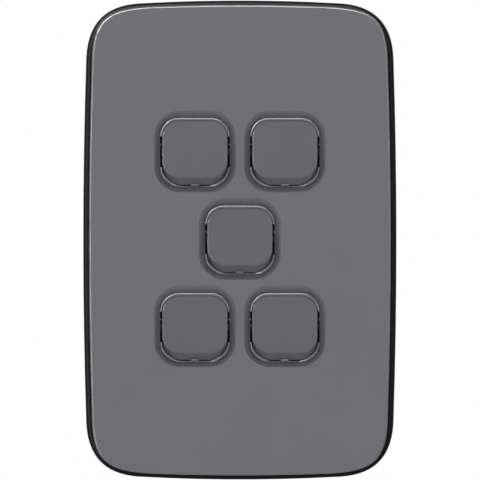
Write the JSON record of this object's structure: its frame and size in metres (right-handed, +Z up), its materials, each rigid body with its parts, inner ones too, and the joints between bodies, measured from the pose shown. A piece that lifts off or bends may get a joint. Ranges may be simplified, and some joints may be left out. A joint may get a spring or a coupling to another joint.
{
  "type": "rocker switch plate",
  "caption": "Wall switch plate: a dark grey clip-on cover over a black base plate, with square rocker switches in dished recesses.",
  "frame": {"origin": "centre of the plate on the wall plane, midway between the two fixing screws", "axes": "+X right and +Z up as seen from the room, +Y into the wall; the front looks along -Y"},
  "size_m": [0.076, 0.0309, 0.1162],
  "materials": {
    "cover": "fine satin",
    "rocker": "fine satin",
    "black_plastic": "satin",
    "plunger": "smooth",
    "spring_steel": "drawn wire",
    "contact_metal": "stamped strip",
    "terminal_brass": "machined",
    "plated_steel": "zinc plated"
  },
  "bodies": {
    "plate": {"cover_plate": "cover", "base_plate": "black_plastic", "fixing_screws": "plated_steel", "top_left_frame": "black_plastic", "top_left_housing": "black_plastic", "top_left_terminals": "terminal_brass", "top_left_terminal_screws": "plated_steel", "top_right_frame": "black_plastic", "top_right_housing": "black_plastic", "top_right_terminals": "terminal_brass", "top_right_terminal_screws": "plated_steel", "centre_frame": "black_plastic", "centre_housing": "black_plastic", "centre_terminals": "terminal_brass", "centre_terminal_screws": "plated_steel", "bottom_left_frame": "black_plastic", "bottom_left_housing": "black_plastic", "bottom_left_terminals": "terminal_brass", "bottom_left_terminal_screws": "plated_steel", "bottom_right_frame": "black_plastic", "bottom_right_housing": "black_plastic", "bottom_right_terminals": "terminal_brass", "bottom_right_terminal_screws": "plated_steel"},
    "top_left_rocker": {"top_left_rocker": "rocker", "top_left_plunger": "plunger", "top_left_spring": "spring_steel"},
    "top_left_blade": {"top_left_contact_blade": "contact_metal"},
    "top_right_rocker": {"top_right_rocker": "rocker", "top_right_plunger": "plunger", "top_right_spring": "spring_steel"},
    "top_right_blade": {"top_right_contact_blade": "contact_metal"},
    "centre_rocker": {"centre_rocker": "rocker", "centre_plunger": "plunger", "centre_spring": "spring_steel"},
    "centre_blade": {"centre_contact_blade": "contact_metal"},
    "bottom_left_rocker": {"bottom_left_rocker": "rocker", "bottom_left_plunger": "plunger", "bottom_left_spring": "spring_steel"},
    "bottom_left_blade": {"bottom_left_contact_blade": "contact_metal"},
    "bottom_right_rocker": {"bottom_right_rocker": "rocker", "bottom_right_plunger": "plunger", "bottom_right_spring": "spring_steel"},
    "bottom_right_blade": {"bottom_right_contact_blade": "contact_metal"}
  },
  "joints": [
    {"name": "top_left_rocker_tilt", "type": "hinge", "parent": "plate", "child": "top_left_rocker", "pos_m": [-0.01089, -0.00265, 0.02133], "axis": [1, 0, 0], "range_deg": [0, 16]},
    {"name": "top_left_blade_tilt", "type": "hinge", "parent": "plate", "child": "top_left_blade", "pos_m": [-0.01089, 0.0062, 0.02133], "axis": [1, 0, 0], "range_deg": [-12, 0]},
    {"name": "top_right_rocker_tilt", "type": "hinge", "parent": "plate", "child": "top_right_rocker", "pos_m": [0.01089, -0.00265, 0.02133], "axis": [1, 0, 0], "range_deg": [0, 16]},
    {"name": "top_right_blade_tilt", "type": "hinge", "parent": "plate", "child": "top_right_blade", "pos_m": [0.01089, 0.0062, 0.02133], "axis": [1, 0, 0], "range_deg": [-12, 0]},
    {"name": "centre_rocker_tilt", "type": "hinge", "parent": "plate", "child": "centre_rocker", "pos_m": [0, -0.00265, 0.00013], "axis": [1, 0, 0], "range_deg": [0, 16]},
    {"name": "centre_blade_tilt", "type": "hinge", "parent": "plate", "child": "centre_blade", "pos_m": [0, 0.0062, 0.00013], "axis": [1, 0, 0], "range_deg": [-12, 0]},
    {"name": "bottom_left_rocker_tilt", "type": "hinge", "parent": "plate", "child": "bottom_left_rocker", "pos_m": [-0.01089, -0.00265, -0.02107], "axis": [1, 0, 0], "range_deg": [0, 16]},
    {"name": "bottom_left_blade_tilt", "type": "hinge", "parent": "plate", "child": "bottom_left_blade", "pos_m": [-0.01089, 0.0062, -0.02107], "axis": [1, 0, 0], "range_deg": [-12, 0]},
    {"name": "bottom_right_rocker_tilt", "type": "hinge", "parent": "plate", "child": "bottom_right_rocker", "pos_m": [0.01089, -0.00265, -0.02107], "axis": [1, 0, 0], "range_deg": [0, 16]},
    {"name": "bottom_right_blade_tilt", "type": "hinge", "parent": "plate", "child": "bottom_right_blade", "pos_m": [0.01089, 0.0062, -0.02107], "axis": [1, 0, 0], "range_deg": [-12, 0]}
  ],
  "couplings": [
    {"joint": "top_left_blade_tilt", "follows": "top_left_rocker_tilt", "ratio": -0.75},
    {"joint": "top_right_blade_tilt", "follows": "top_right_rocker_tilt", "ratio": -0.75},
    {"joint": "centre_blade_tilt", "follows": "centre_rocker_tilt", "ratio": -0.75},
    {"joint": "bottom_left_blade_tilt", "follows": "bottom_left_rocker_tilt", "ratio": -0.75},
    {"joint": "bottom_right_blade_tilt", "follows": "bottom_right_rocker_tilt", "ratio": -0.75}
  ]
}
